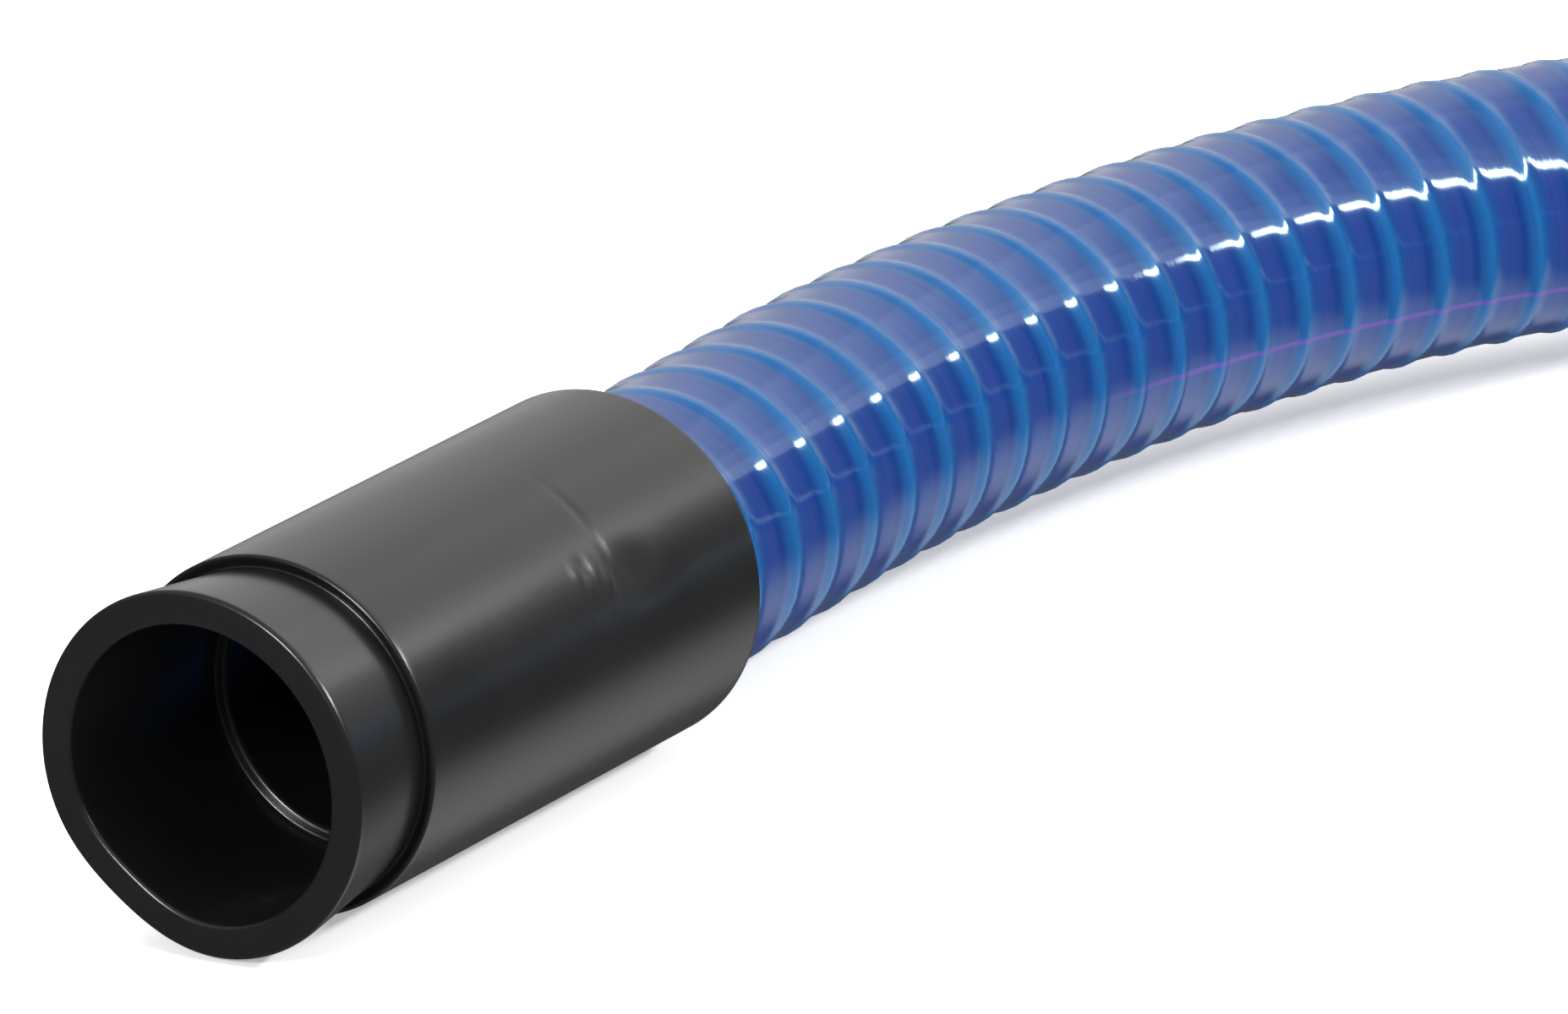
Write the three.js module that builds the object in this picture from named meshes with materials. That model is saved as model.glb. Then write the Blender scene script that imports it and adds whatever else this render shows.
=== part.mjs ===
// A flexible PVC suction hose with a moulded rubber cuff on each end, lying on a level floor.
// Millimetres, +Z up. The front cuff points along X with its mouth towards -X. The hose bends
// away from it, runs round in one open turn and ends in the rear cuff.
// The origin is on the floor, under the middle of the whole object.
import * as THREE from "three";

// The hose: soft PVC with a rigid PVC helix moulded into its wall.
const HOSE_BORE = 50;
const HOSE_WALL = 4;
const HOSE_SIDES = 12;
const HOSE_STEPS = 48;

// The cuff: a nose that a wand or spigot goes into, narrower at its root, and a body round the
// hose that widens a little towards the hose. The tapers are counted on the radius.
const CUFF_LENGTH = 133;
const CUFF_WALL = 5;
const BODY_TAPER = 0.9;
const NOSE_LENGTH = 23.3;
const NOSE_WALL = 6.4;
const NOSE_TAPER = 3;
const SPIGOT_BORE = 54.8;
const SPIGOT_DEPTH = 44.6;
const NECK_LENGTH = 33;
const EDGE_RADIUS = 1.2;
const SHOULDER_RADIUS = 0.6;
const CUFF_SIDES = 36;
const SEAT_CLEARANCE = 0.3;

// The mouth is pressed in on one side: how deep, in which direction from straight down towards
// +Y, and how wide to each side, both in degrees.
const DENT_DEPTH = 1.9;
const DENT_DIRECTION = 38;
const DENT_WIDTH = 27;

// The hose's way from the front cuff's end: x, y, and its height, as a share of what the
// cuff's axis lies above the height of a hose on the floor.
const FREE_ROUTE = [
  [40.7, 0, 1.2],
  [81.2, -0.6, 1.5],
  [121.7, -2.7, 1.6],
  [161.9, -7.2, 1.6],
  [201.7, -14.9, 1.6],
  [240.4, -26.7, 1.6],
  [277.3, -43.3, 1.6],
  [311.3, -65.2, 1.55],
  [341.3, -91.7, 1.45],
  [367.4, -121.9, 1.3],
  [391.3, -156.4, 1.1],
  [413.3, -194.5, 0.85],
  [433.2, -236, 0.55],
  [450.5, -280.8, 0.3],
  [464.6, -328.7, 0.12],
  [475.1, -379.6, 0.03],
  [480.9, -429.3, 0],
  [482.7, -474.7, 0],
];
const TURN_START = [482.8, -528];
const TURN_RADIUS = 300;
const TURN_POINTS = 16;
const TURN_RISE_FROM = 140;
const REAR_RUN = 112;

const hoseRadius = HOSE_BORE / 2 + HOSE_WALL;
const seatRadius = hoseRadius + SEAT_CLEARANCE;
const cuffRadius = seatRadius + CUFF_WALL;
const spigotRadius = SPIGOT_BORE / 2;
const mouthRadius = spigotRadius + NOSE_WALL;
const seatStart = SPIGOT_DEPTH + NECK_LENGTH;
const hoseStart = seatStart + SEAT_CLEARANCE;

const hoseBlue = new THREE.MeshStandardMaterial({
  color: 0x2a55a0,
  roughness: 0.25,
  metalness: 0,
});
const cuffBlack = new THREE.MeshStandardMaterial({
  color: 0x2b2b2d,
  roughness: 0.45,
  metalness: 0,
});

// Points of a quarter round between two directions, for a profile's rounded edge.
function roundedEdge(centreR, centreS, radius, fromAngle, toAngle) {
  const points = [];
  const pieces = 3;
  for (let i = 0; i <= pieces; i++) {
    const angle = fromAngle + ((toAngle - fromAngle) * i) / pieces;
    points.push(
      new THREE.Vector2(
        centreR + radius * Math.cos(angle),
        centreS + radius * Math.sin(angle),
      ),
    );
  }
  return points;
}

// The cuff's section: radius against distance from the mouth, once round the wall.
function cuffProfile() {
  const e = EDGE_RADIUS;
  const profile = [
    new THREE.Vector2(spigotRadius, SPIGOT_DEPTH),
    ...roundedEdge(spigotRadius + e, e, e, -Math.PI, -Math.PI / 2),
    ...roundedEdge(mouthRadius - e, e, e, -Math.PI / 2, 0),
    new THREE.Vector2(mouthRadius - NOSE_TAPER, NOSE_LENGTH),
    ...roundedEdge(
      cuffRadius - BODY_TAPER - SHOULDER_RADIUS,
      NOSE_LENGTH + SHOULDER_RADIUS,
      SHOULDER_RADIUS,
      -Math.PI / 2,
      0,
    ),
    ...roundedEdge(cuffRadius - e, CUFF_LENGTH - e, e, 0, Math.PI / 2),
    new THREE.Vector2(seatRadius, CUFF_LENGTH),
    new THREE.Vector2(seatRadius, seatStart),
    new THREE.Vector2(HOSE_BORE / 2, seatStart),
    new THREE.Vector2(HOSE_BORE / 2, SPIGOT_DEPTH),
  ];
  profile.push(profile[0].clone());
  return profile;
}

// Presses in one side of the nose, fully at the mouth and fading to nothing at its root.
function pressMouth(geometry) {
  const position = geometry.getAttribute("position");
  for (let i = 0; i < position.count; i++) {
    const y = position.getY(i);
    const z = position.getZ(i);
    const fade = Math.max(0, 1 - position.getX(i) / NOSE_LENGTH);
    const degrees = THREE.MathUtils.radToDeg(Math.atan2(y, -z));
    const across = (degrees - DENT_DIRECTION) / DENT_WIDTH;
    const depth = DENT_DEPTH * fade * Math.exp(-across * across);
    const share = 1 - depth / Math.hypot(y, z);
    position.setY(i, y * share);
    position.setZ(i, z * share);
  }
}

// A cuff along +X with its mouth at x = 0.
function makeCuff(name) {
  const geometry = new THREE.LatheGeometry(cuffProfile(), CUFF_SIDES);
  geometry.rotateZ(-Math.PI / 2);
  pressMouth(geometry);
  const cuff = new THREE.Mesh(geometry, cuffBlack);
  cuff.name = name;
  return cuff;
}

// Height of the hose's axis at the given share of the cuff's.
function axisHeight(share) {
  return hoseRadius + (cuffRadius - hoseRadius) * share;
}

// The hose's axis from its seat in the front cuff to its seat in the rear cuff.
function hosePath() {
  const points = [
    new THREE.Vector3(hoseStart, 0, cuffRadius),
    new THREE.Vector3((hoseStart + CUFF_LENGTH) / 2, 0, cuffRadius),
    new THREE.Vector3(CUFF_LENGTH, 0, cuffRadius),
  ];
  for (const [x, y, share] of FREE_ROUTE)
    points.push(new THREE.Vector3(CUFF_LENGTH + x, y, axisHeight(share)));
  const centreX = CUFF_LENGTH + TURN_START[0] - TURN_RADIUS;
  for (let i = 0; i <= TURN_POINTS; i++) {
    const degrees = (180 * i) / TURN_POINTS;
    const angle = THREE.MathUtils.degToRad(degrees);
    const share = THREE.MathUtils.smoothstep(degrees, TURN_RISE_FROM, 180);
    points.push(
      new THREE.Vector3(
        centreX + TURN_RADIUS * Math.cos(angle),
        TURN_START[1] - TURN_RADIUS * Math.sin(angle),
        axisHeight(share),
      ),
    );
  }
  const rearX = rearCuffX();
  const rearEnd = rearCuffEndY();
  points.push(new THREE.Vector3(rearX, rearEnd - REAR_RUN / 2, cuffRadius));
  points.push(new THREE.Vector3(rearX, rearEnd, cuffRadius));
  points.push(
    new THREE.Vector3(rearX, rearEnd + (CUFF_LENGTH - hoseStart), cuffRadius),
  );
  return new THREE.CatmullRomCurve3(points, false, "centripetal");
}

function rearCuffX() {
  return CUFF_LENGTH + TURN_START[0] - 2 * TURN_RADIUS;
}

// Where the rear cuff's hose end lies, one straight run past the turn.
function rearCuffEndY() {
  return TURN_START[1] + REAR_RUN;
}

function makeHose() {
  const section = new THREE.Shape();
  const bore = new THREE.Path();
  for (let i = 0; i < HOSE_SIDES; i++) {
    const angle = (2 * Math.PI * i) / HOSE_SIDES;
    const x = Math.cos(angle);
    const y = Math.sin(angle);
    if (i === 0) {
      section.moveTo(hoseRadius * x, hoseRadius * y);
      bore.moveTo((HOSE_BORE / 2) * x, (HOSE_BORE / 2) * y);
    } else {
      section.lineTo(hoseRadius * x, hoseRadius * y);
      bore.lineTo((HOSE_BORE / 2) * x, (HOSE_BORE / 2) * y);
    }
  }
  section.holes.push(bore);
  const geometry = new THREE.ExtrudeGeometry(section, {
    steps: HOSE_STEPS,
    extrudePath: hosePath(),
    bevelEnabled: false,
  });
  const hose = new THREE.Mesh(geometry, hoseBlue);
  hose.name = "hose";
  return hose;
}

const laid = new THREE.Group();

const frontCuff = makeCuff("front_cuff");
frontCuff.position.set(0, 0, cuffRadius);
laid.add(frontCuff);

laid.add(makeHose());

const rearCuff = makeCuff("rear_cuff");
rearCuff.rotation.z = -Math.PI / 2;
rearCuff.position.set(rearCuffX(), rearCuffEndY() + CUFF_LENGTH, cuffRadius);
laid.add(rearCuff);

// Puts the middle of the object's outline over the origin, with its lowest point on the floor.
laid.updateMatrixWorld(true);
const outline = new THREE.Box3().setFromObject(laid, true);
laid.position.set(
  -(outline.min.x + outline.max.x) / 2,
  -(outline.min.y + outline.max.y) / 2,
  -outline.min.z,
);

const flexibleHose = new THREE.Group();
flexibleHose.add(laid);

export default flexibleHose;
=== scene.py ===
import bpy
import numpy as np
from mathutils import Matrix, Vector


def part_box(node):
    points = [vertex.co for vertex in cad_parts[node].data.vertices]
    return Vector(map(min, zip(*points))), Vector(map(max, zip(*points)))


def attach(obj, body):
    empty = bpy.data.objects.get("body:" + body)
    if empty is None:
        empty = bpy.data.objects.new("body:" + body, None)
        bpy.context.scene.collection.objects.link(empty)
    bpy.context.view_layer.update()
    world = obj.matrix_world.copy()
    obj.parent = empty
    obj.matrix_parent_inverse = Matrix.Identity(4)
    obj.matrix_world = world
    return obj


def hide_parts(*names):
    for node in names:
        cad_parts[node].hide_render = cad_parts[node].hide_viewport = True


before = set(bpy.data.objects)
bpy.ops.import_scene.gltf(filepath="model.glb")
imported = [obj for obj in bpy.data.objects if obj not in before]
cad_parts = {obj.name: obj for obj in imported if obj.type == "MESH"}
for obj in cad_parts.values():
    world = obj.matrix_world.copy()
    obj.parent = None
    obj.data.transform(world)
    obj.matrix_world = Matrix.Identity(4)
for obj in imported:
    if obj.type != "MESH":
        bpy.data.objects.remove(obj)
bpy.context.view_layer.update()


# The camera: a long lens, a little above the hose, looking down along it from beyond the
# front cuff's mouth. Its place is counted from the middle of that mouth.
cuff_low, cuff_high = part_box("front_cuff")
mouth = Vector((
    cuff_low.x,
    (cuff_low.y + cuff_high.y) / 2,
    (cuff_low.z + cuff_high.z) / 2,
))
CAMERA_FROM_MOUTH = Vector((-1.07312, -0.78479, 0.44114))
view_direction = Vector((0.81497, 0.50321, -0.28742)).normalized()
view_right = Vector((0.51200, -0.85755, -0.04962)).normalized()
view_up = view_right.cross(view_direction)
camera_data = bpy.data.cameras.new("camera")
camera_data.sensor_fit = "HORIZONTAL"
camera_data.sensor_width = 36
camera_data.lens = 184.74
camera_data.clip_start = 0.05
camera_data.clip_end = 50
camera = bpy.data.objects.new("camera", camera_data)
camera_turn = Matrix((view_right, view_up, -view_direction)).transposed()
camera.matrix_world = Matrix.Translation(mouth + CAMERA_FROM_MOUTH) @ camera_turn.to_4x4()
bpy.context.scene.collection.objects.link(camera)
bpy.context.scene.camera = camera


# The hose: a soft, slightly translucent blue PVC wall, extruded together with a rigid
# lighter blue PVC helix that stands out of it as low ribs. A thin violet line that runs
# slowly round it is a painted glint, the bright edge of a reflection. Each end is glued into
# a cuff.
HOSE_RADIUS = 0.029
HOSE_BORE_RADIUS = 0.025
HOSE_SIDES = 48
HELIX_PITCH = 0.0144
HELIX_START = 0.0095
RIB_HEIGHT = 0.0006
RIB_WIDTH = 0.125
ROW_PHASES = (0, 0.2, 0.29, 0.36, 0.43, 0.5, 0.57, 0.64, 0.71, 0.8)
BORE_STEP = 0.01
PATH_STEP = 0.004
CUFF_LENGTH = 0.133
HOSE_START = 0.0779
CUFF_AXIS_HEIGHT = mouth.z
FLOOR_AXIS_HEIGHT = HOSE_RADIUS
TURN_START = (0.4828, -0.528)
TURN_RADIUS = 0.3
TURN_POINTS = 16
TURN_RISE_FROM = 140
REAR_RUN = 0.112

# The way of the hose from the front cuff's end: x, y, and its height, as a share of what the
# cuff's axis lies above the height of a hose on the floor.
FREE_ROUTE = (
    (0.0407, 0, 1.2),
    (0.0812, -0.0006, 1.5),
    (0.1217, -0.0027, 1.6),
    (0.1619, -0.0072, 1.6),
    (0.2017, -0.0149, 1.6),
    (0.2404, -0.0267, 1.6),
    (0.2773, -0.0433, 1.6),
    (0.3113, -0.0652, 1.55),
    (0.3413, -0.0917, 1.45),
    (0.3674, -0.1219, 1.3),
    (0.3913, -0.1564, 1.1),
    (0.4133, -0.1945, 0.85),
    (0.4332, -0.236, 0.55),
    (0.4505, -0.2808, 0.3),
    (0.4646, -0.3287, 0.12),
    (0.4751, -0.3796, 0.03),
    (0.4809, -0.4293, 0),
    (0.4827, -0.4747, 0),
)


def axis_height(share):
    """Height of the hose's axis at the given share of the cuff's."""
    return FLOOR_AXIS_HEIGHT + (CUFF_AXIS_HEIGHT - FLOOR_AXIS_HEIGHT) * share


def route_points():
    """The points that the hose's axis runs through, from one seat to the other."""
    points = [
        (HOSE_START, 0, CUFF_AXIS_HEIGHT),
        ((HOSE_START + CUFF_LENGTH) / 2, 0, CUFF_AXIS_HEIGHT),
        (CUFF_LENGTH, 0, CUFF_AXIS_HEIGHT),
    ]
    for x, y, share in FREE_ROUTE:
        points.append((CUFF_LENGTH + x, y, axis_height(share)))
    centre_x = CUFF_LENGTH + TURN_START[0] - TURN_RADIUS
    for i in range(TURN_POINTS + 1):
        degrees = 180 * i / TURN_POINTS
        rise = min(1, max(0, (degrees - TURN_RISE_FROM) / (180 - TURN_RISE_FROM)))
        angle = np.radians(degrees)
        points.append((
            centre_x + TURN_RADIUS * np.cos(angle),
            TURN_START[1] - TURN_RADIUS * np.sin(angle),
            axis_height(rise * rise * (3 - 2 * rise)),
        ))
    rear_x = centre_x - TURN_RADIUS
    rear_end = TURN_START[1] + REAR_RUN
    for y in (
        rear_end - REAR_RUN / 2,
        rear_end,
        rear_end + CUFF_LENGTH - HOSE_START,
    ):
        points.append((rear_x, y, CUFF_AXIS_HEIGHT))
    return np.array(points) + np.array((mouth.x, mouth.y, 0))


def smooth_path(points, step):
    """A centripetal Catmull-Rom curve through the points, cut into even steps."""
    ends = (2 * points[0] - points[1], 2 * points[-1] - points[-2])
    p = np.vstack((ends[0], points, ends[1]))
    dense = []
    for i in range(1, len(p) - 2):
        a, b, c, d = p[i - 1 : i + 3]
        t1 = np.linalg.norm(b - a) ** 0.5
        t2 = t1 + np.linalg.norm(c - b) ** 0.5
        t3 = t2 + np.linalg.norm(d - c) ** 0.5
        t = np.linspace(t1, t2, 60, endpoint=False)[:, None]
        ab = (t1 - t) / t1 * a + t / t1 * b
        bc = (t2 - t) / (t2 - t1) * b + (t - t1) / (t2 - t1) * c
        cd = (t3 - t) / (t3 - t2) * c + (t - t2) / (t3 - t2) * d
        abc = (t2 - t) / t2 * ab + t / t2 * bc
        bcd = (t3 - t) / (t3 - t1) * bc + (t - t1) / (t3 - t1) * cd
        dense.append((t2 - t) / (t2 - t1) * abc + (t - t1) / (t2 - t1) * bcd)
    line = np.vstack(dense + [points[-1:]])
    run = np.concatenate(([0], np.cumsum(np.linalg.norm(np.diff(line, axis=0), axis=1))))
    count = int(round(run[-1] / step)) + 1
    even = np.linspace(0, run[-1], count)
    return np.stack([np.interp(even, run, line[:, i]) for i in range(3)], axis=1), even


def sweep_frames(path):
    """Two directions across the path at each of its points, without twist."""
    along = np.gradient(path, axis=0)
    along /= np.linalg.norm(along, axis=1)[:, None]
    across = np.empty_like(path)
    across[0] = np.cross(np.cross(along[0], (0, 0, 1)), along[0])
    for i in range(1, len(path)):
        across[i] = across[i - 1] - along[i] * np.dot(across[i - 1], along[i])
        across[i] /= np.linalg.norm(across[i])
    across[0] /= np.linalg.norm(across[0])
    return across, np.cross(along, across)


def add_piece(name, vertices, faces, material, uv=None):
    """A smooth-shaded mesh at its place in the row frame, with its material."""
    mesh = bpy.data.meshes.new(name)
    mesh.from_pydata([tuple(v) for v in vertices], [], faces)
    if uv is not None:
        layer = mesh.uv_layers.new(name="UVMap")
        layer.data.foreach_set("uv", np.asarray(uv, np.float32).ravel())
    mesh.shade_smooth()
    mesh.materials.append(material)
    piece = bpy.data.objects.new(name, mesh)
    bpy.context.scene.collection.objects.link(piece)
    return piece


def rib_radius(phase):
    """The hose's outer radius at a share of the helix's pitch."""
    offset = np.abs(np.mod(phase, 1) - 0.5)
    return HOSE_RADIUS - RIB_HEIGHT + RIB_HEIGHT * np.exp(-((offset / RIB_WIDTH) ** 2))


def hose_mesh(path, stations):
    """Vertices, faces and UVs of the hose: rows that follow the helix, bore and ends."""
    length = stations[-1]
    across, beside = sweep_frames(path)
    sides = HOSE_SIDES
    rows = len(ROW_PHASES)
    turns = int(length / HELIX_PITCH) + 3

    def place(station, share, radius):
        columns = []
        angle = 2 * np.pi * share
        for i in range(3):
            centre = np.interp(station, stations, path[:, i])
            a = np.interp(station, stations, across[:, i])
            b = np.interp(station, stations, beside[:, i])
            columns.append(centre + radius * (np.cos(angle) * a + np.sin(angle) * b))
        return np.stack(columns, axis=-1)

    turn, row = np.divmod(np.arange(turns * rows), rows)
    helix = (turn - 2 + np.array(ROW_PHASES)[row]) * HELIX_PITCH + HELIX_START
    share = np.arange(sides)[:, None] / sides
    station = np.clip(helix[None, :] + share * HELIX_PITCH, 0, length)
    kept = (station > 0) & (station < length)
    index = np.full(station.shape, -1)
    index[kept] = np.arange(kept.sum()) + 2 * sides
    index[station == 0] = np.nonzero(station == 0)[0]
    index[station == length] = np.nonzero(station == length)[0] + sides
    share_grid = np.broadcast_to(share, station.shape)
    first = share[:, 0]
    ring_station = np.concatenate((np.zeros(sides), np.full(sides, length)))
    all_station = np.concatenate((ring_station, station[kept]))
    all_share = np.concatenate((first, first, share_grid[kept]))
    phase = (all_station - HELIX_START) / HELIX_PITCH - all_share
    vertices = [place(all_station, all_share, rib_radius(phase))]

    faces = []
    uvs = []

    def add_face(corners, corner_stations, corner_shares):
        ring = []
        for corner, s, k in zip(corners, corner_stations, corner_shares):
            if not ring or corner != ring[-1][0]:
                ring.append((corner, k, (s - HELIX_START) / HELIX_PITCH - k))
        if len(ring) > 1 and ring[0][0] == ring[-1][0]:
            ring.pop()
        if len(ring) > 2:
            faces.append([c[0] for c in ring])
            uvs.extend((c[1], c[2]) for c in ring)

    for k in range(sides):
        k_next = (k + 1) % sides
        shift = rows if k_next == 0 else 0
        shares = (k / sides, (k + 1) / sides, (k + 1) / sides, k / sides)
        for m in range(turns * rows - 1 - shift):
            here = station[k, m], station[k, m + 1]
            there = station[k_next, m + shift], station[k_next, m + 1 + shift]
            add_face(
                (index[k, m], index[k_next, m + shift],
                 index[k_next, m + 1 + shift], index[k, m + 1]),
                (here[0], there[0], there[1], here[1]),
                shares,
            )

    bore_rows = int(length / BORE_STEP) + 1
    bore_station = np.linspace(0, length, bore_rows)
    bore_first = len(vertices[0])
    grid_station, grid_share = np.meshgrid(bore_station, first, indexing="ij")
    vertices.append(place(grid_station.ravel(), grid_share.ravel(), HOSE_BORE_RADIUS))
    for i in range(bore_rows - 1):
        for k in range(sides):
            k_next = (k + 1) % sides
            low = bore_first + i * sides
            high = low + sides
            add_face(
                (low + k, high + k, high + k_next, low + k_next),
                (bore_station[i], bore_station[i + 1], bore_station[i + 1], bore_station[i]),
                (k / sides, k / sides, (k + 1) / sides, (k + 1) / sides),
            )
    bore_last = bore_first + (bore_rows - 1) * sides
    for k in range(sides):
        k_next = (k + 1) % sides
        shares = (k / sides, k / sides, (k + 1) / sides, (k + 1) / sides)
        add_face((k, bore_first + k, bore_first + k_next, k_next), (0,) * 4, shares)
        add_face(
            (sides + k_next, bore_last + k_next, bore_last + k, sides + k),
            (length,) * 4,
            shares[::-1],
        )
    return np.vstack(vertices), faces, uvs


def shader_group(name, outputs):
    """A new shader node group with the given outputs, and its output node."""
    tree = bpy.data.node_groups.new(name, "ShaderNodeTree")
    for label, kind in outputs:
        tree.interface.new_socket(label, in_out="OUTPUT", socket_type=kind)
    return tree, tree.nodes.new("NodeGroupOutput")


def map_range(tree, value, low, high, to_low=0, to_high=1):
    """The value carried from one range to another, and kept within it."""
    node = tree.nodes.new("ShaderNodeMapRange")
    node.inputs["From Min"].default_value = low
    node.inputs["From Max"].default_value = high
    node.inputs["To Min"].default_value = to_low
    node.inputs["To Max"].default_value = to_high
    tree.links.new(value, node.inputs["Value"])
    return node


def calculate(tree, operation, *values):
    """The result of a sum on numbers and other nodes' outputs."""
    node = tree.nodes.new("ShaderNodeMath")
    node.operation = operation
    for slot, value in zip(node.inputs, values):
        if isinstance(value, (int, float)):
            slot.default_value = value
        else:
            tree.links.new(value, slot)
    return node.outputs[0]


def noise(tree, vector, scale, detail):
    """Noise of the given scale and detail."""
    node = tree.nodes.new("ShaderNodeTexNoise")
    node.inputs["Scale"].default_value = scale
    node.inputs["Detail"].default_value = detail
    tree.links.new(vector, node.inputs["Vector"])
    return node.outputs["Fac"]


def colour_ramp(tree, value, stops):
    """Colours along the value; each stop is a position and a colour."""
    node = tree.nodes.new("ShaderNodeValToRGB")
    elements = node.color_ramp.elements
    while len(elements) < len(stops):
        elements.new(1)
    for element, (position, colour) in zip(elements, stops):
        element.position = position
        element.color = (*colour, 1)
    tree.links.new(value, node.inputs["Fac"])
    return node.outputs["Color"]


# The colours across the helix's pitch: the rib's crest is at a half.
PITCH_COLOURS = (
    (0.0, (0.0115, 0.030, 0.144)),
    (0.10, (0.0085, 0.028, 0.138)),
    (0.17, (0.0046, 0.023, 0.126)),
    (0.25, (0.0050, 0.029, 0.136)),
    (0.34, (0.0062, 0.047, 0.165)),
    (0.50, (0.0074, 0.072, 0.212)),
    (0.64, (0.0066, 0.044, 0.165)),
    (0.73, (0.0090, 0.034, 0.150)),
    (0.88, (0.0115, 0.030, 0.144)),
)
PITCH_WOBBLE = 0.06
STREAK_SCALE = (3, 40, 1)

# The violet line, a painted glint at the edge of a reflection: where it would lie at the
# helix's first turn and how far it moves in each turn, both as a share of the way round, and
# the turns over which it begins.
PAINTED_GLINT_COLOUR = (0.1, 0.03, 0.26, 1)
PAINTED_GLINT_PLACE = 0.2181
PAINTED_GLINT_DRIFT = 0.0047
PAINTED_GLINT_BEGINS = (12, 15)


def helix_colour_group():
    """Wall and helix colours by the place across the helix's pitch, with faint streaks and a
    painted glint.
    """
    tree, out = shader_group(
        "helix_in_wall",
        (("Color", "NodeSocketColor"), ("Height", "NodeSocketFloat")),
    )
    nodes, links = tree.nodes, tree.links
    uv = nodes.new("ShaderNodeUVMap").outputs["UV"]
    surface = nodes.new("ShaderNodeTexCoord").outputs["Object"]
    split = nodes.new("ShaderNodeSeparateXYZ")
    links.new(uv, split.inputs[0])
    share, turn = split.outputs["X"], split.outputs["Y"]
    wobble = noise(tree, surface, 60, 2)
    shifted = calculate(tree, "MULTIPLY_ADD", wobble, PITCH_WOBBLE, turn)
    phase = calculate(tree, "FRACT", shifted)
    pitch_colour = colour_ramp(tree, phase, PITCH_COLOURS)
    stretch = nodes.new("ShaderNodeVectorMath")
    stretch.operation = "MULTIPLY"
    stretch.inputs[1].default_value = STREAK_SCALE
    links.new(uv, stretch.inputs[0])
    streaks = noise(tree, stretch.outputs[0], 1, 3)
    depth = map_range(tree, streaks, 0.3, 0.7, 0.86, 1.1)
    shade = nodes.new("ShaderNodeVectorMath")
    shade.operation = "SCALE"
    links.new(pitch_colour, shade.inputs[0])
    links.new(depth.outputs[0], shade.inputs["Scale"])
    # Painted glint: a thin violet line at a slowly drifting place round the hose, from the
    # twelfth turn on, stands in for the bright edge of a reflection.
    place = calculate(tree, "MULTIPLY_ADD", turn, -PAINTED_GLINT_DRIFT, -PAINTED_GLINT_PLACE)
    from_line = calculate(tree, "ABSOLUTE", calculate(tree, "ADD", share, place))
    line = map_range(tree, from_line, 0.0016, 0.0045, 0.55, 0)
    begun = map_range(tree, turn, *PAINTED_GLINT_BEGINS)
    glint_mixed = nodes.new("ShaderNodeMix")
    glint_mixed.data_type = "RGBA"
    factor, wall, violet = glint_mixed.inputs[0], glint_mixed.inputs[6], glint_mixed.inputs[7]
    violet.default_value = PAINTED_GLINT_COLOUR
    links.new(calculate(tree, "MULTIPLY", line.outputs[0], begun.outputs[0]), factor)
    links.new(shade.outputs[0], wall)
    links.new(glint_mixed.outputs[2], out.inputs["Color"])
    links.new(streaks, out.inputs["Height"])
    return tree


def surface_material(name, group):
    """A material whose shader takes colour and relief from the group."""
    material = bpy.data.materials.new(name)
    material.use_nodes = True
    nodes, links = material.node_tree.nodes, material.node_tree.links
    shader = nodes["Principled BSDF"]
    effect = nodes.new("ShaderNodeGroup")
    effect.node_tree = group
    bump = nodes.new("ShaderNodeBump")
    links.new(effect.outputs["Color"], shader.inputs["Base Color"])
    if "Roughness" in effect.outputs:
        links.new(effect.outputs["Roughness"], shader.inputs["Roughness"])
    links.new(effect.outputs["Height"], bump.inputs["Height"])
    links.new(bump.outputs["Normal"], shader.inputs["Normal"])
    return material, shader, bump


hose_material, hose_shader, hose_bump = surface_material("hose_pvc", helix_colour_group())
hose_shader.inputs["Roughness"].default_value = 0.09
hose_shader.inputs["IOR"].default_value = 1.53
hose_shader.inputs["Specular Tint"].default_value = (0.68, 1, 1, 1)
hose_bump.inputs["Strength"].default_value = 0.15
hose_bump.inputs["Distance"].default_value = 0.0002
hose_path, hose_stations = smooth_path(route_points(), PATH_STEP)
hose_vertices, hose_faces, hose_uvs = hose_mesh(hose_path, hose_stations)
hose = add_piece("hose_looks", hose_vertices, hose_faces, hose_material, hose_uvs)
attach(hose, "root")
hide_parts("hose")


# The front cuff: one moulding of black rubber, drawn over the hose's end as far as an inner
# stop ring. Its nose is a short, slightly conical collar that takes a wand or spigot.
CUFF_SIDES = 128
NOSE_LENGTH = 0.0233
MOUTH_RADIUS = 0.0338
NOSE_ROOT_RADIUS = 0.0308
BODY_FRONT_RADIUS = 0.0334
BODY_END_RADIUS = 0.0343
SOCKET_RADIUS = 0.0274
SEAT_RADIUS = 0.0293
SEAT_LIP_RADIUS = 0.02905
STOP_START = 0.0446
STOP_END = 0.0776
DENT_DEPTH = 0.0019
DENT_DIRECTION = 38
DENT_WIDTH = 27
CUFF_ROW = 0.0009
ARC_STEPS = 5
UNDERCUT = 0.0013
LIP_LENGTH = 0.003

# Soft dents, then small puckers that stand out: each at (station, degrees), of (length,
# width) and depth. A crease runs round the side between them, at its own (station, degrees).
CUFF_DENTS = (
    ((0.097, 157), (0.007, 9), 0.0006),
    ((0.083, 148), (0.004, 4), 0.0002),
    ((0.0788, 149), (0.001, 2.5), -0.00026),
    ((0.0812, 154), (0.001, 2.5), -0.00026),
    ((0.0842, 150), (0.001, 2.5), -0.00026),
    ((0.0868, 156), (0.001, 2.5), -0.00026),
)
CREASE_AT = (0.0895, 137)
CREASE_HALF = (0.0008, 17)
CREASE_DEPTH = 0.0002

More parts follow.
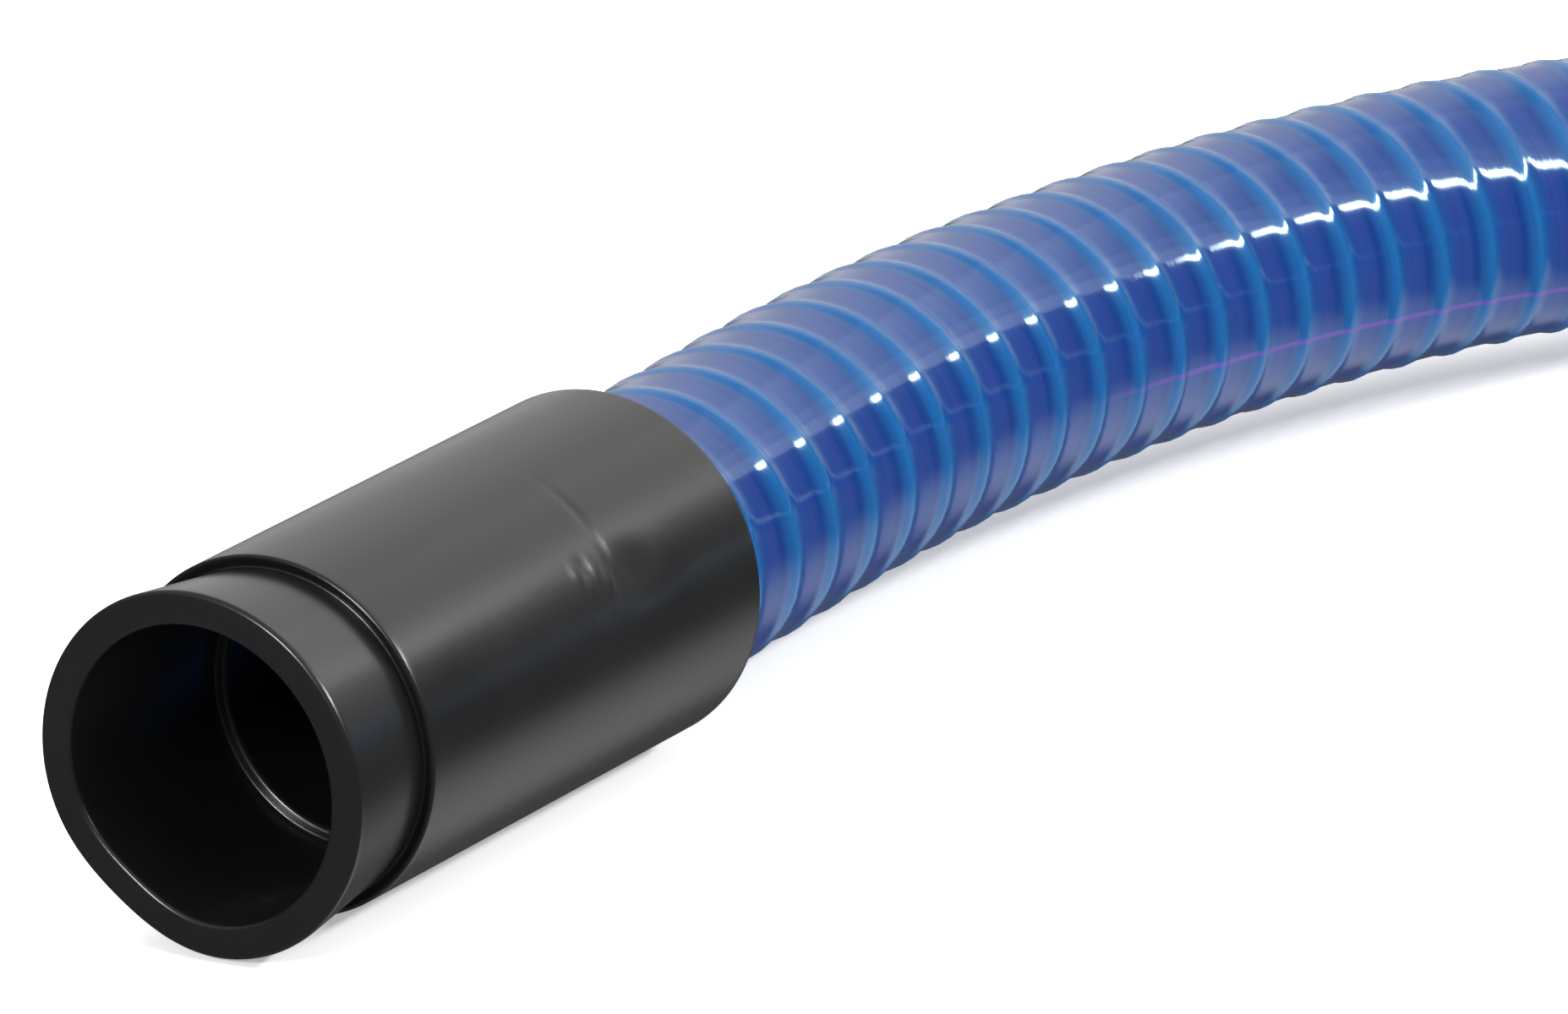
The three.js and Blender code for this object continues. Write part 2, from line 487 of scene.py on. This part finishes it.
# The corners of the cuff's section: distance from the mouth, radius, and edge rounding.
CUFF_CORNERS = (
    (0, SOCKET_RADIUS, 0.0010),
    (0, MOUTH_RADIUS, 0.0009),
    (NOSE_LENGTH + UNDERCUT, NOSE_ROOT_RADIUS, 0.0004),
    (NOSE_LENGTH, BODY_FRONT_RADIUS, 0.0006),
    (CUFF_LENGTH, BODY_END_RADIUS, 0.0009),
    (CUFF_LENGTH, SEAT_LIP_RADIUS, 0.0004),
    (CUFF_LENGTH - LIP_LENGTH, SEAT_RADIUS, 0.0002),
    (STOP_END, SEAT_RADIUS, 0.0004),
    (STOP_END, HOSE_BORE_RADIUS, 0.0004),
    (STOP_START, HOSE_BORE_RADIUS, 0.0010),
    (STOP_START, SOCKET_RADIUS, 0.0006),
)


def rounded_outline(corners, arc_steps, longest):
    """A closed outline with each corner rounded and its long sides cut into short ones."""
    points = np.array([c[:2] for c in corners], float)
    outline = []
    for i, (corner, (_, _, radius)) in enumerate(zip(points, corners)):
        to_last = points[i - 1] - corner
        to_next = points[(i + 1) % len(points)] - corner
        to_last /= np.linalg.norm(to_last)
        to_next /= np.linalg.norm(to_next)
        half = np.arccos(np.clip(np.dot(to_last, to_next), -1, 1)) / 2
        reach = radius / np.tan(half)
        middle = to_last + to_next
        centre = corner + middle / np.linalg.norm(middle) * radius / np.sin(half)
        first = corner + to_last * reach - centre
        last = corner + to_next * reach - centre
        for share in np.linspace(0, 1, arc_steps + 1):
            arc = first * (1 - share) + last * share
            outline.append(centre + arc / np.linalg.norm(arc) * radius)
    fine = []
    for a, b in zip(outline, outline[1:] + outline[:1]):
        pieces = max(1, int(np.ceil(np.linalg.norm(b - a) / longest)))
        fine.extend(a + (b - a) * j / pieces for j in range(pieces))
    return np.array(fine)


def bump_at(station, angle, at, size):
    """A soft round rise of height 1 on the cuff: at and size are (station, degrees)."""
    turn = np.mod(np.degrees(angle) - at[1] + 180, 360) - 180
    return np.exp(-(((station - at[0]) / size[0]) ** 2) - (turn / size[1]) ** 2)


def cuff_mesh(dents):
    """Vertices and faces of a cuff along +X, mouth at x = 0; dents is their strength."""
    outline = rounded_outline(CUFF_CORNERS, ARC_STEPS, CUFF_ROW)
    count = len(outline)
    angle = np.arange(CUFF_SIDES)[:, None] * 2 * np.pi / CUFF_SIDES
    station = np.broadcast_to(outline[None, :, 0], (CUFF_SIDES, count))
    radius = np.broadcast_to(outline[None, :, 1], (CUFF_SIDES, count)).copy()
    outside = (radius > BODY_FRONT_RADIUS - 0.0012) & (station > NOSE_LENGTH)
    pressed = CREASE_DEPTH * bump_at(station, angle, CREASE_AT, CREASE_HALF)
    for at, size, depth in CUFF_DENTS:
        pressed += depth * bump_at(station, angle, at, size)
    radius -= np.where(outside, dents * pressed, 0)
    turn = np.degrees(np.pi / 2 + angle) - DENT_DIRECTION
    turn = np.mod(turn + 180, 360) - 180
    fade = np.clip(1 - station / NOSE_LENGTH, 0, 1)
    radius -= DENT_DEPTH * fade * np.exp(-((turn / DENT_WIDTH) ** 2))
    y = radius * np.cos(angle)
    z = radius * np.sin(angle)
    vertices = np.stack((station, y, z), axis=-1).reshape(-1, 3)
    faces = []
    for i in range(CUFF_SIDES):
        i_next = (i + 1) % CUFF_SIDES
        for j in range(count):
            j_next = (j + 1) % count
            faces.append((
                i * count + j,
                i * count + j_next,
                i_next * count + j_next,
                i_next * count + j,
            ))
    return vertices, faces


def rubber_group():
    """Black rubber: slight clouds in its gloss and a fine grain from the mould."""
    tree, out = shader_group(
        "moulded_rubber",
        (
            ("Color", "NodeSocketColor"),
            ("Roughness", "NodeSocketFloat"),
            ("Height", "NodeSocketFloat"),
        ),
    )
    nodes, links = tree.nodes, tree.links
    place = nodes.new("ShaderNodeTexCoord").outputs["Object"]
    clouds = noise(tree, place, 35, 3)
    tint = map_range(tree, clouds, 0, 1, 0.005, 0.009)
    colour = nodes.new("ShaderNodeCombineColor")
    for i in range(3):
        links.new(tint.outputs[0], colour.inputs[i])
    gloss = map_range(tree, clouds, 0, 1, 0.22, 0.30)
    links.new(colour.outputs[0], out.inputs["Color"])
    links.new(gloss.outputs[0], out.inputs["Roughness"])
    links.new(noise(tree, place, 1400, 2), out.inputs["Height"])
    return tree


rubber_material, rubber_shader, rubber_bump = surface_material("cuff_rubber", rubber_group())
rubber_shader.inputs["IOR"].default_value = 1.5
rubber_bump.inputs["Strength"].default_value = 0.12
rubber_bump.inputs["Distance"].default_value = 0.0001
cuff_vertices, cuff_faces = cuff_mesh(1)
front_cuff = add_piece(
    "front_cuff_looks",
    cuff_vertices + np.array(mouth),
    cuff_faces,
    rubber_material,
)
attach(front_cuff, "root")
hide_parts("front_cuff")


# The rear cuff: the same black rubber moulding on the hose's other end. It points the other
# way, towards +Y, and lies on the floor beside the turn.
rear_low, rear_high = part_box("rear_cuff")
plain_vertices, plain_faces = cuff_mesh(0)
rear_vertices = np.stack(
    (
        (rear_low.x + rear_high.x) / 2 + plain_vertices[:, 1],
        rear_high.y - plain_vertices[:, 0],
        (rear_low.z + rear_high.z) / 2 + plain_vertices[:, 2],
    ),
    axis=1,
)
rear_cuff = add_piece("rear_cuff_looks", rear_vertices, plain_faces, rubber_material)
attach(rear_cuff, "root")
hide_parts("rear_cuff")


# The floor: a plain white studio floor, wide enough to run out of the view on all sides. It
# is lit from within a little, so that the shadow on it stays light.
FLOOR_HALF = 6
floor_mesh = bpy.data.meshes.new("floor")
floor_mesh.from_pydata(
    [
        (-FLOOR_HALF, -FLOOR_HALF, 0),
        (FLOOR_HALF, -FLOOR_HALF, 0),
        (FLOOR_HALF, FLOOR_HALF, 0),
        (-FLOOR_HALF, FLOOR_HALF, 0),
    ],
    [],
    [(0, 1, 2, 3)],
)
floor_material = bpy.data.materials.new("floor")
floor_material.use_nodes = True
floor_shader = floor_material.node_tree.nodes["Principled BSDF"]
floor_shader.inputs["Base Color"].default_value = (0.9, 0.9, 0.9, 1)
floor_shader.inputs["Roughness"].default_value = 0.9
floor_shader.inputs["Specular IOR Level"].default_value = 0.1
floor_shader.inputs["Emission Color"].default_value = (1, 1, 1, 1)
floor_shader.inputs["Emission Strength"].default_value = 0.4
floor_mesh.materials.append(floor_material)
floor = bpy.data.objects.new("floor", floor_mesh)
bpy.context.scene.collection.objects.link(floor)
floor.visible_glossy = False


# The light: a wide panel high on the hose's right side with a bright tube along its lower
# edge, a lamp overhead, a small one in front of the mouth, and a dim room that is palest
# overhead, behind the hose and below it.
subject = mouth + Vector((0.24, -0.02, 0))
EDGE_ALONG = Vector((0.985, 0.174, 0))
EDGE_OUT = Vector((0.174, -0.985, 0))
EDGE_DISTANCE = 1.5
EDGE_HEIGHT = 0.98
PANEL_LENGTH = 5
PANEL_SHIFT = 1.5
PANEL_RISE = 0.9
STRIPS_PER_METRE = 5
STRIP_RADIANCES = (1.45, 0.85, 0.46, 0.38, 0.34, 0.32)
TUBE_SHIFT = 0.2
TUBE_SIZE = (1.7, 0.1)
TUBE_RADIANCE = 62
FRONT_FROM_MOUTH = Vector((-2, 0, 1.06))
FRONT_SIZE = (0.5, 0.3)
FRONT_RADIANCE = 80
OVERHEAD_FROM_SUBJECT = Vector((0, 0.3, 2.4))
OVERHEAD_SIZE = (2.8, 2.8)
OVERHEAD_RADIANCE = 2.6

# Each glow in the room: its middle, the cosines of the angles from there at which it ends
# and at which it is full, and its brightness.
GLOW_BEHIND = ((0.93, 0.33, 0.2), 0.6, 0.9, 0.75)
GLOW_BELOW = ((0.545, -0.341, -0.766), 0.84, 0.97, 0.85)

# The room's brightness from straight below, at 0, to straight above, at 1.
ROOM_BRIGHTNESS = (
    (0.0, 0.2),
    (0.12, 0.12),
    (0.25, 0.1),
    (0.5, 0.08),
    (0.65, 0.1),
    (0.8, 0.45),
)


def area_light(name, centre, along, up, size, radiance):
    """A rectangular light of even brightness: along is its long side, up its short side."""
    data = bpy.data.lights.new(name, "AREA")
    data.shape = "RECTANGLE"
    data.size, data.size_y = size
    data.energy = radiance * size[0] * size[1] * np.pi
    lamp = bpy.data.objects.new(name, data)
    along = Vector(along).normalized()
    back = along.cross(Vector(up)).normalized()
    turn = Matrix((along, back.cross(along), back)).transposed()
    lamp.matrix_world = Matrix.Translation(centre) @ turn.to_4x4()
    bpy.context.scene.collection.objects.link(lamp)
    return lamp


edge = subject + EDGE_OUT * EDGE_DISTANCE + Vector((0, 0, EDGE_HEIGHT))
rise = (Vector((0, 0, PANEL_RISE)) - EDGE_OUT) / STRIPS_PER_METRE
for i, radiance in enumerate(STRIP_RADIANCES):
    centre = edge + EDGE_ALONG * PANEL_SHIFT + rise * (i + 0.5)
    size = (PANEL_LENGTH, rise.length)
    area_light(f"panel_{i}", centre, EDGE_ALONG, rise, size, radiance)
tube_rise = -EDGE_OUT * 0.55 + Vector((0, 0, 0.83))
tube_centre = edge + EDGE_ALONG * TUBE_SHIFT + tube_rise * 0.02
area_light("tube", tube_centre, EDGE_ALONG, tube_rise, TUBE_SIZE, TUBE_RADIANCE)
front_centre = mouth + FRONT_FROM_MOUTH
area_light("front", front_centre, (0, -1, 0), (0.47, 0, 0.88), FRONT_SIZE, FRONT_RADIANCE)
overhead = area_light(
    "overhead",
    subject + OVERHEAD_FROM_SUBJECT,
    (1, 0, 0),
    (0, 1, 0),
    OVERHEAD_SIZE,
    OVERHEAD_RADIANCE,
)
overhead.visible_glossy = False
world = bpy.data.worlds.new("room")
world.use_nodes = True
room = world.node_tree
nodes, links = room.nodes, room.links
direction = nodes.new("ShaderNodeTexCoord").outputs["Generated"]
split = nodes.new("ShaderNodeSeparateXYZ")
links.new(direction, split.inputs[0])


def glow_towards(axis, low, high, brightness):
    """A soft glow round the axis: low and high are cosines of the angle from it."""
    toward = nodes.new("ShaderNodeVectorMath")
    toward.operation = "DOT_PRODUCT"
    toward.inputs[1].default_value = axis
    links.new(direction, toward.inputs[0])
    glow = map_range(room, toward.outputs["Value"], low, high, 0, brightness)
    glow.interpolation_type = "SMOOTHSTEP"
    return glow.outputs[0]


height = map_range(room, split.outputs["Z"], -1, 1)
walls = colour_ramp(
    room,
    height.outputs[0],
    [(position, (value,) * 3) for position, value in ROOM_BRIGHTNESS],
)
above = map_range(room, split.outputs["Z"], -0.2, 0)
above.interpolation_type = "SMOOTHSTEP"
behind = glow_towards(*GLOW_BEHIND)
below = glow_towards(*GLOW_BELOW)
lit = calculate(room, "MULTIPLY_ADD", behind, above.outputs[0], walls)
links.new(calculate(room, "ADD", lit, below), nodes["Background"].inputs["Color"])
bpy.context.scene.world = world
bpy.context.scene.view_settings.view_transform = "Standard"
